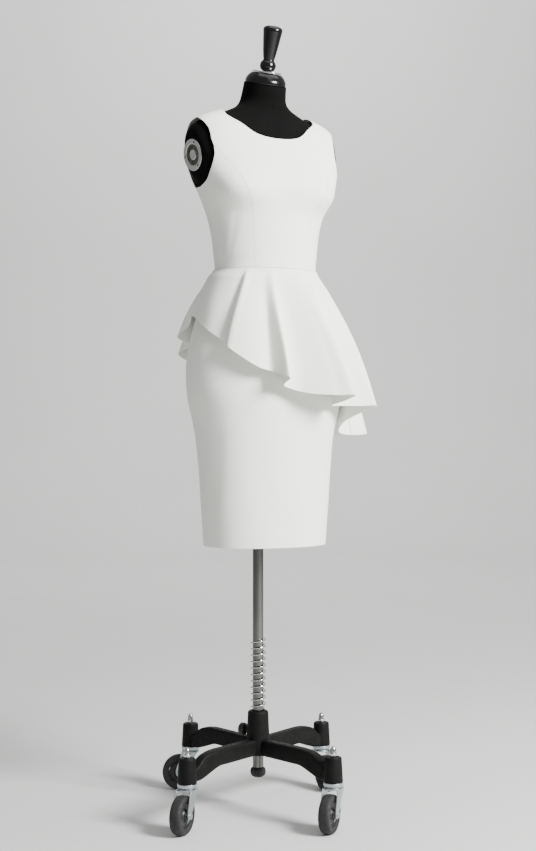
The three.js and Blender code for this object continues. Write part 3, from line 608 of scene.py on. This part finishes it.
def bodice_back(sign, hand):
    """From the side seam to the centre back, with the armhole, the shoulder and the back neckline."""
    low = BODICE_LOW

    def side(v):
        seam = pair(SIDE_BACK, low + np.clip(v / BACK_SIDE_SHARE, 0, 1) * (UNDERARM_Z - low))
        hole = along(BACK_ARMHOLE, np.clip((v - BACK_SIDE_SHARE) / (1 - BACK_SIDE_SHARE), 0, 1))
        return np.where((v < BACK_SIDE_SHARE)[..., None], seam, hole)

    def top(u):
        strap = pair(SIDE_BACK, SHOULDER_Z + SHOULDER_RISE * np.clip(u / STRAP_SHARE, 0, 1))
        neck = along(BACK_NECKLINE, np.clip((u - STRAP_SHARE) / (1 - STRAP_SHARE), 0, 1))
        return np.where((u < STRAP_SHARE)[..., None], strap, neck)

    u = np.sort(np.unique(np.concatenate([shares(46), STRAP_SHARE * np.linspace(0.92, 1.08, 5)])))
    v = np.sort(np.unique(np.concatenate([shares(84), BACK_SIDE_SHARE + np.linspace(-0.01, 0.01, 5)])))
    u, v = np.meshgrid(u, v, indexing="ij")
    place = coons(u, v, lambda t: pair(SIDE_BACK + (CENTRE_BACK - SIDE_BACK) * t, low), top, side,
                  lambda t: pair(CENTRE_BACK, low + t * (BACK_NECK_Z - low)))
    angle, z = sign * place[..., 0], place[..., 1]
    if sign < 0:
        angle, z = angle[::-1], z[::-1]
    return cloth(f"bodice_back_{hand}_cloth", angle, z, bodice_relief(angle, z), (f"bodice_back_{hand}",))


def skirt_panel(name, first, last, columns):
    """A straight panel from waist to hem over the hips, its top drawn in under the peplum."""
    u, v = np.meshgrid(shares(columns), shares(120), indexing="ij")
    top = WAIST_Z - 0.15
    angle, z = first + (last - first) * u, HEM_Z + (top - HEM_Z) * v
    drop = 1.6 * ease(z, WAIST_Z - 45, WAIST_Z)
    relief = skirt_relief(angle, z) * ease(z, WAIST_Z, WAIST_Z - 60)
    return cloth(f"{name}_cloth", angle, z, relief, (name,), drop)


def fold_at(place):
    """Direction, reach and height of the hem at a place along the seam, the table repeating every turn."""
    turns = np.floor((place + 107) / 360)
    row = along(FOLDS, place - turns * 360)
    return row[..., 0] + turns * 360, row[..., 1], row[..., 2]


def body_reach(angle, z):
    """How far the body lies from the peplum's middle line in one direction."""
    half, front, back, _, n = np.moveaxis(along(SECTIONS, z), -1, 0)
    s = np.abs(np.sin(np.radians(angle))) / half
    c = np.cos(np.radians(angle))
    d = np.abs(c) / np.where(c > 0, front, back)
    return (s**n + d**n) ** (-1 / n)


def peplum_at(place, down):
    """The flounce's middle: from the waist seam out to its hem's fold, sprung out between, never nearer
    the body than it can lie. Place is along the seam in degrees; down runs from 0 at the seam to 1 at
    the hem."""
    direction, reach, hem = fold_at(place)
    top = WAIST_Z - 1.0
    z = top + (hem - top) * down
    swing = ease(down, 0, 1) * 0.6 + down * 0.4
    angle = place + (direction - place) * swing
    start = body_reach(place, np.full_like(place, top)) + 5.6
    line = start + (reach - start) * (down + 0.12 * np.sin(math.pi * down))
    hug = body_reach(angle, z) + 7
    width = 10 * ease(down, 0, 0.15)
    radius = np.where(down < 1e-6, start, (line + hug + np.sqrt((line - hug) ** 2 + width * width)) / 2)
    radius = radius + 5 * np.exp(-((place + 47) / 3.2) ** 2) * ease(down, 0, 0.12)
    turn = np.radians(angle)
    return np.stack([radius * np.sin(turn), PEPLUM_Y - radius * np.cos(turn), z], -1)


def peplum_panel(name, first, last, columns):
    """The flounce's cloth between two seams, closed all round, a narrow hem a little proud."""
    u, v = np.meshgrid(shares(columns), shares(64), indexing="ij")
    place, down = first + (last - first) * u, 1 - v
    across = peplum_at(place + 0.4, down) - peplum_at(place - 0.4, down)
    up = peplum_at(place, np.maximum(down - 0.01, 0)) - peplum_at(place, np.minimum(down + 0.01, 1))
    normal = unit(np.cross(across, up))
    middle = peplum_at(place, down)
    thin = half_thickness(edge_reach(middle))
    hem = 0.22 * ease(down, 0.965, 0.968) * thin / CLOTH_HALF
    life = 0.3 * np.sin(place / 3.1 + 4 * down) * down * (1 - down)
    outer = middle + normal * (thin + life + hem)[..., None]
    inner = middle - normal * (thin - life)[..., None]
    return piece(f"{name}_cloth", [outer, inner[::-1]], CREPE, "form", (name,), 60)


# ---- the form ------------------------------------------------------------------------------
ARM_AT = np.array([163.0, -20.0, 1388.0])


def arm_face(sign):
    """A point and the outward normal of the plane that a stump ends on."""
    down, forward = math.radians(10), math.radians(8)
    normal = np.array([sign * math.cos(forward) * math.cos(down), -math.sin(forward), -math.sin(down)])
    return ARM_AT * np.array([sign, 1, 1]), normal / np.linalg.norm(normal)


def torso():
    """The body surface less a little, the stumps pressed flat on their planes, a seam up the front and back,
    closed at the neck and turned in at the foot round the pole's hole."""
    fine = np.linspace(-3, 3, 13)
    angle = np.concatenate([np.linspace(-180, 180, 181), fine, 180 + fine[:7], fine[6:] - 180])
    angle = np.unique(np.round(angle, 4))
    z = np.concatenate([[FORM_BOTTOM_Z], FORM_BOTTOM_Z + np.array([0.3, 1, 2.2, 4, 7]),
                        np.linspace(712, 1490, 150), np.linspace(1494, FORM_TOP_Z - 0.4, 24)])
    a, h = np.meshgrid(angle, z, indexing="ij")
    edge = 5 * (1 - np.sqrt(np.clip(1 - (1 - np.clip((h - FORM_BOTTOM_Z) / 7, 0, 1)) ** 2, 0, 1)))
    under = 1.5 + 1.6 * np.exp(-((h - 1458) / 24) ** 2) + 0.17 * bust_rise(a, h)
    round_it = np.radians(np.abs(a)) * 45
    far_round = np.radians(180 - np.abs(a)) * 45
    under = under * (1 - ease(h, 1490, 1530)) + 0.5 * np.exp(-(round_it / 0.9) ** 2)
    under = under + 0.5 * np.exp(-(far_round / 0.9) ** 2)
    skin = off_body(a, h, -(under + edge))
    for sign in (1, -1):
        at, normal = arm_face(sign)
        past = np.maximum((skin - at) @ normal, 0)
        skin = skin - past[..., None] * normal
    skin[-1] = skin[0]
    hole = np.stack([np.sin(np.radians(angle)) * BORE_RADIUS, -np.cos(np.radians(angle)) * BORE_RADIUS,
                     np.full(len(angle), FORM_BOTTOM_Z)], -1)
    deep = hole + [0, 0, BORE_DEPTH]
    end = np.broadcast_to(np.array([0, 0, FORM_BOTTOM_Z + BORE_DEPTH]), hole.shape)
    top = np.broadcast_to(skin[:-1, -1].mean(0), hole.shape)
    whole = np.concatenate([end[:, None], deep[:, None], hole[:, None], skin, top[:, None]], 1)
    whole[-1] = whole[0]
    return piece("torso_jersey", [whole], JERSEY, "form", ("torso",), 45)


def neck_pieces():
    """Cap, plate and handle turned about the leaning neck's axis."""
    def on_neck(grid):
        return turned_x(grid, NECK_LEAN) + [0, NECK_Y, FORM_TOP_Z]

    cap = eased_profile([[0, 0.3], [43.5, 0.3], [44, 3], [43, 9], [38, 17], [31.5, 23], [0, 24]], 3)
    piece("neck_cap_lacquer", [on_neck(lathe(cap, 96))], LACQUER, "form", ("neck_cap",))
    plate = eased_profile([[0, 24.3], [31, 24.3], [31, 26.8], [0, 26.8]], 0.7)
    piece("neck_plate_metal", [on_neck(lathe(plate, 96))], CHROME, "form", ("neck_plate",))
    rows = np.array([[0, 9, 27.1], [0.08, 13.5, 29.2], [0.16, 16.6, 34], [0.22, 17.3, 39],
                     [0.3, 15.6, 44.8], [0.36, 12.4, 49], [0.4, 11.7, 51], [0.46, 12.4, 54],
                     [0.55, 14, 62], [0.75, 17.4, 86], [0.9, 19.9, 106], [0.94, 20.5, 112],
                     [0.97, 18.5, 117], [0.99, 11, 120.6], [1, 0, 121.5]])
    handle = np.concatenate([[[0, 27.1]], along(rows, np.linspace(0, 1, 90))])
    handle[:, 0] = np.maximum(handle[:, 0], 0)
    piece("finial_lacquer", [on_neck(lathe(handle, 80))], LACQUER, "form", ("finial",))


def arm_plate(sign, hand):
    """A bright turned ring round a dished well painted near-black for its shade, with a ball in the middle,
    and three dark screws in the same steel.
    """
    at, normal = arm_face(sign)
    ring = eased_profile([[22, 0.9], [22, 0.3], [33, 0.3], [33, 2.2], [31.5, 2.7], [24, 2.7],
                          [22, 1.6], [22, 0.9]], 0.7)
    ball = [[11 * math.cos(k), 0.75 + 1.95 * math.sin(k)] for k in np.linspace(0, math.pi / 2, 14)]
    ball = np.array([[0, 0.7], [11, 0.7], *ball[1:-1], [0, 2.7]])
    grids = [to_direction(lathe(ring, 96), normal) + at, to_direction(lathe(ball, 64), normal) + at]
    piece(f"arm_plate_{hand}_chrome", grids, CHROME, "form", (f"arm_plate_{hand}",), 35)
    # Painted shade: the well's floor is near-black steel standing in for the shade in the recess, and the
    # screw heads share it.
    well = eased_profile([[0, 0.3], [22.3, 0.3], [22.3, 1.3], [20, 0.9], [12, 0.6], [0, 0.6]], 0.3)
    screw = eased_profile([[0, 2.2], [2.6, 2.2], [2.6, 2.75], [1.8, 2.95], [0, 2.8]], 0.3)
    grids = [to_direction(lathe(well, 80), normal) + at]
    for k in range(3):
        turn = math.radians(100 + 120 * k)
        head = lathe(screw, 20) + [27.5 * math.cos(turn), 27.5 * math.sin(turn), 0]
        grids.append(to_direction(head, normal) + at)
    piece(f"arm_well_{hand}_painted_shade", grids, WELL_SHADE_STEEL, "form", (), 35)


# ---- the stand -----------------------------------------------------------------------------
def pole_pieces():
    """Pole, foot stopper and collar, each a profile turned about the pole's axis."""
    pole = eased_profile([[0, 90], [POLE_RADIUS, 90], [POLE_RADIUS, 1240], [0, 1240]], 1)
    piece("pole_plated", [lathe(pole, 96)], SATIN, "pole", ("pole",))
    foot = eased_profile([[0, 68], [9, 69], [15, 73], [17, 80], [16, 86], [13, 89.7], [0, 89.7]], 2)
    piece("pole_stopper_rubber", [lathe(foot, 72)], RUBBER, "pole", ("pole_stopper",))
    collar = eased_profile([[12, 651], [12, 650], [19, 650], [19, 690], [40, 690], [40, 699.7], [12, 699.7],
                            [12, 651]], 1.2)
    piece("form_collar_nylon", [lathe(collar, 96)], NYLON, "form_collar", ("form_collar",))


def spring():
    """A round wire wound eleven times round the pole at an even pitch."""
    t = np.linspace(0, 1, SPRING_TURNS * 44 + 1)
    low, high = HUB_TOP_Z + 1.9, SPRING_TOP_Z - 1.7
    rise = low + (high - low) * t
    turn = 2 * math.pi * SPRING_TURNS * t
    path = np.stack([15.6 * np.cos(turn), 15.6 * np.sin(turn), rise], -1)
    thing = piece("spring_wire", [tube(path, 1.55, 12)], CHROME, "base", ("spring",), 60)
    outwards(thing)


def arm_of_base(angle):
    """Rounded-square sections carried along the arm from the hub to its boss, arched over underneath."""
    top = [[10, 152], [60, 152.5], [110, 153], [150, 152.5], [180, 146], [200, 131], [212, 124]]
    under = [[10, 118], [60, 118], [110, 118], [135, 117.5], [160, 110], [187, 101], [212, 99]]
    r = np.linspace(10, 212, 60)
    high, low = along(top, r)[..., 0], along(under, r)[..., 0]
    turn = np.linspace(0, 2 * math.pi, 41)
    turn[-1] = 0
    y = 12 * power(np.cos(turn), 5.5)
    z = (high + low)[:, None] / 2 + (high - low)[:, None] / 2 * power(np.sin(turn), 5.5)[None]
    skin = np.stack([np.broadcast_to(r[:, None], z.shape), np.broadcast_to(y[None], z.shape), z], -1)
    ends = [np.broadcast_to(skin[[k]].mean(1, keepdims=True), (1,) + skin.shape[1:]) for k in (0, -1)]
    return turned_z(np.concatenate([ends[0], skin, ends[1]]), math.radians(angle))


ARM_ANGLES = [a + BASE_TURN for a in (ARM_HALF_ANGLE, 180 - ARM_HALF_ANGLE, 180 + ARM_HALF_ANGLE,
                                      -ARM_HALF_ANGLE)]
CASTERS = dict(zip(("left_rear", "right_rear", "right_front", "left_front"),
                   zip(ARM_ANGLES, (-93, 152, -140, -140))))


def boss_at(angle):
    """The foot of a caster boss: its reach from the pole in its arm's direction."""
    turn = math.radians(angle)
    return np.array([BOSS_REACH * math.cos(turn), BOSS_REACH * math.sin(turn), 0])


def base_casting():
    """A turned hub, and four arms each with a turned boss at its end."""
    hub = eased_profile([[11.9, HUB_BOTTOM_Z], [24.5, HUB_BOTTOM_Z], [24.5, 155], [22, 209],
                         [19, HUB_TOP_Z], [11.9, HUB_TOP_Z], [11.9, HUB_BOTTOM_Z]], 3)
    boss = eased_profile([[5.5, BOSS_BOTTOM_Z], [20, BOSS_BOTTOM_Z], [17.3, 148], [15.5, 150], [0, 150]], 2)
    boss = np.concatenate([[[0, 112], [5.5, 112]], boss])
    grids = [lathe(hub, 96)]
    for angle in ARM_ANGLES:
        grids += [arm_of_base(angle), lathe(boss, 56) + boss_at(angle)]
    thing = piece("base_casting_painted", grids, CASTING, "base", ("base_casting",), 45)
    outwards(thing)


def caster_place(name):
    """Turns a shape to a caster's swivel and moves it under its boss."""
    angle, swivel = CASTERS[name]
    return lambda grid: turned_z(grid, math.radians(swivel)) + boss_at(angle)


def on_axle(grid):
    """A shape turned about +Z, laid over to turn about the axle."""
    return turned_x(grid, math.pi / 2) + [CASTER_TRAIL, 0, WHEEL_RADIUS]


def caster(name):
    """Nut, stepped race, wheel and hub as turned shapes; the fork keeps its pressed shape, edges eased."""
    put = caster_place(name)
    swivel, roll = f"swivel_{name}", f"roll_{name}"
    turn = np.linspace(0, 2 * math.pi, 61)
    turn[-1] = 0
    flat = 6.9 / np.cos((turn + math.pi / 6) % (math.pi / 3) - math.pi / 6)
    heights = np.array([150.3, 150.9, 157.6, 158.4, 160.5, 163, 166, 168.5, 170.6, 171.8, 172])
    dome = np.array([0, 0, 0, 6.7, 6.5, 6.3, 5.7, 4.6, 3.0, 1.2, 0])
    share = np.array([0.97, 1, 1, 0, 0, 0, 0, 0, 0, 0, 0])
    r = share[None] * np.minimum(flat, 7.55)[:, None] + dome[None]
    nut = np.stack([r * np.cos(turn)[:, None], r * np.sin(turn)[:, None],
                    np.broadcast_to(heights[None], r.shape)], -1)
    nut = np.concatenate([np.broadcast_to(np.array([0, 0, 150.3]), (61, 1, 3)), nut], 1)
    piece(f"acorn_nut_{name}_chrome", [put(nut)], CHROME, "base", (f"acorn_nut_{name}",), 30)
    race = eased_profile([[5.6, 95], [5.6, 88.3], [17, 88.3], [17.6, 90.6], [20, 92], [20, 98.7],
                          [5.6, 98.7], [5.6, 95]], 0.8)
    piece(f"bearing_ring_{name}_zinc", [put(lathe(race, 72))], ZINC, swivel,
          (f"bearing_ring_{name}",))
    outer = WHEEL_RADIUS
    tread = eased_profile([[25, 0], [25, -10], [34, -11.6], [36.5, -11.6], [outer - 0.8, -8.5],
                           [outer, -5], [outer, 5], [outer - 0.8, 8.5], [36.5, 11.6], [34, 11.6],
                           [25, 10], [25, 0]], 1.6)
    thing = piece(f"tyre_{name}_rubber", [put(on_axle(lathe(tread, 96)))], TYRE, roll,
                  (f"tyre_{name}",))
    outwards(thing)
    disc = eased_profile([[4.8, 0], [4.8, -13], [9.5, -13], [10.5, -8.5], [14, -5.5], [21, -5.5], [22.5, -8],
                          [24.3, -8], [24.3, 8], [22.5, 8], [21, 5.5], [14, 5.5], [10.5, 8.5], [9.5, 13],
                          [4.8, 13], [4.8, 0]], 0.9)
    thing = piece(f"wheel_hub_{name}_nylon", [put(on_axle(lathe(disc, 72)))], NYLON, roll,
                  (f"wheel_hub_{name}",))
    outwards(thing)
    softened(f"fork_{name}_zinc", f"fork_{name}", ZINC, swivel, 0.5)
    axle = eased_profile([[0, -14.7], [4, -14.7], [4, 14.7], [0, 14.7]], 0.4)
    piece(f"axle_{name}_zinc", [put(on_axle(lathe(axle, 32)))], ZINC, swivel, (f"axle_{name}",))


def clamp_knob():
    """A ribbed grip and its shank, turned about the screw's axis."""
    turn = math.radians(CLAMP_TURN)
    shape = lathe(eased_profile([[0, 12.1], [4, 12.1], [4, 29], [8, 29], [13.2, 33], [13.2, 42], [10, 45],
                                 [0, 46]], 1.5), 120)
    ang = np.arctan2(shape[..., 1], shape[..., 0])
    ribs = 1 - 0.03 * (np.cos(ang * 20) > 0.2) * ease(shape[..., 2], 31, 34) * ease(shape[..., 2], 44, 42)
    shape = shape * np.stack([ribs, ribs, np.ones_like(ribs)], -1)
    shape = to_direction(shape, [math.cos(turn), math.sin(turn), 0]) + [0, 0, CLAMP_Z]
    piece("clamp_knob_nylon", [shape], NYLON, "clamp_knob", ("clamp_knob",), 30)


# ---- the room ------------------------------------------------------------------------------
def room():
    """A floor that curves up into a wall behind, square to the camera."""
    bend, sweep, turn = 5.7, 2.2, np.linspace(0.1, math.pi / 2, 16)
    run = np.concatenate([np.linspace(-9, bend, 12), bend + sweep * np.sin(turn), np.full(4, 7.9)])
    rise = np.concatenate([np.zeros(12), sweep - sweep * np.cos(turn), np.linspace(2.8, 9, 4)])
    side = np.linspace(-10, 10, 9)
    s, k = np.meshgrid(side, np.arange(len(run)), indexing="ij")
    grid = s[..., None] * RIGHT + run[k][..., None] * AHEAD + rise[k][..., None] * UP
    m, n = grid.shape[:2]
    index = np.arange(m * n).reshape(m, n)
    quads = np.stack([index[:-1, :-1], index[1:, :-1], index[1:, 1:], index[:-1, 1:]], -1).reshape(-1, 4)
    mesh = bpy.data.meshes.new("floor")
    mesh.from_pydata((grid.reshape(-1, 3) + FOOT).tolist(), [], quads.tolist())
    mesh.shade_smooth()
    f = Finish("studio paper", (0.6, 0.606, 0.594), 0.9)
    f.tint(f.noise(1.5, 2), (0.585, 0.591, 0.579))
    mesh.materials.append(f.material)
    floor = bpy.data.objects.new("floor", mesh)
    bpy.context.scene.collection.objects.link(floor)


def lamp(name, right, ahead, height, size, power_w, aim_ahead=0.0, aim_height=1.0):
    """A soft square lamp, placed to the camera's right and ahead of the pole, aimed at a point ahead."""
    data = bpy.data.lights.new(name, "AREA")
    data.shape, data.size, data.energy = "SQUARE", size, power_w
    thing = bpy.data.objects.new(name, data)
    bpy.context.scene.collection.objects.link(thing)
    place = FOOT + RIGHT * right + AHEAD * ahead + UP * height
    thing.location = place
    target = FOOT + AHEAD * aim_ahead + UP * aim_height
    aim = Vector(target) - Vector(place)
    thing.rotation_euler = aim.to_track_quat("-Z", "Y").to_euler()


def camera():
    """Level, three metres off, a little right of the pole."""
    data = bpy.data.cameras.new("camera")
    data.lens, data.sensor_width, data.clip_end = 59.2, 36, 60
    thing = bpy.data.objects.new("camera", data)
    thing.rotation_euler = (math.radians(90), 0, math.radians(CAMERA_TURN))
    thing.location = FOOT + RIGHT * 0.0215 - AHEAD * 3.010 + UP * 0.824
    bpy.context.scene.collection.objects.link(thing)
    bpy.context.scene.camera = thing


def light_it():
    """Even pale room light, a soft key from the right, a faint top light, and a wash on the wall."""
    world = bpy.data.worlds.new("room")
    bpy.context.scene.world = world
    world.use_nodes = True
    background = world.node_tree.nodes["Background"]
    background.inputs["Color"].default_value = (0.93, 0.96, 0.94, 1)
    background.inputs["Strength"].default_value = 0.44
    lamp("key", 2.6, -1.9, 2.5, 1.2, 445)
    lamp("overhead", 0.6, -0.3, 3.6, 2.4, 40)
    lamp("wall_wash", 0, 4.2, 5.2, 3.0, 330, 8.0, 1.6)


# ---- everything in its place ---------------------------------------------------------------
camera()
center = bodice_front_center()
side_left, side_right = bodice_front_side(1, "left"), bodice_front_side(-1, "right")
back_left, back_right = bodice_back(1, "left"), bodice_back(-1, "right")
front = skirt_panel("skirt_front", -90 + SEAM_ANGLE, 90 - SEAM_ANGLE, 120)
rear_left = skirt_panel("skirt_back_left", 90 + SEAM_ANGLE, 180 - SEAM_ANGLE, 60)
rear_right = skirt_panel("skirt_back_right", 180 + SEAM_ANGLE, 270 - SEAM_ANGLE, 60)
flounce = peplum_panel("peplum_front", -90 + SEAM_ANGLE, 90 - SEAM_ANGLE, 300)
flounce_left = peplum_panel("peplum_back_left", 90 + SEAM_ANGLE, 180 - SEAM_ANGLE, 170)
flounce_right = peplum_panel("peplum_back_right", 180 + SEAM_ANGLE, 270 - SEAM_ANGLE, 150)
torso()
neck_pieces()
arm_plate(1, "left")
arm_plate(-1, "right")
pole_pieces()
spring()
base_casting()
clamp_knob()
for corner in CASTERS:
    caster(corner)
softened("zip_slider_enamel", "zip_slider", ENAMEL, "form", 0.4)
softened("zip_pull_enamel", "zip_pull", ENAMEL, "zip_pull", 0.25)
room()
light_it()
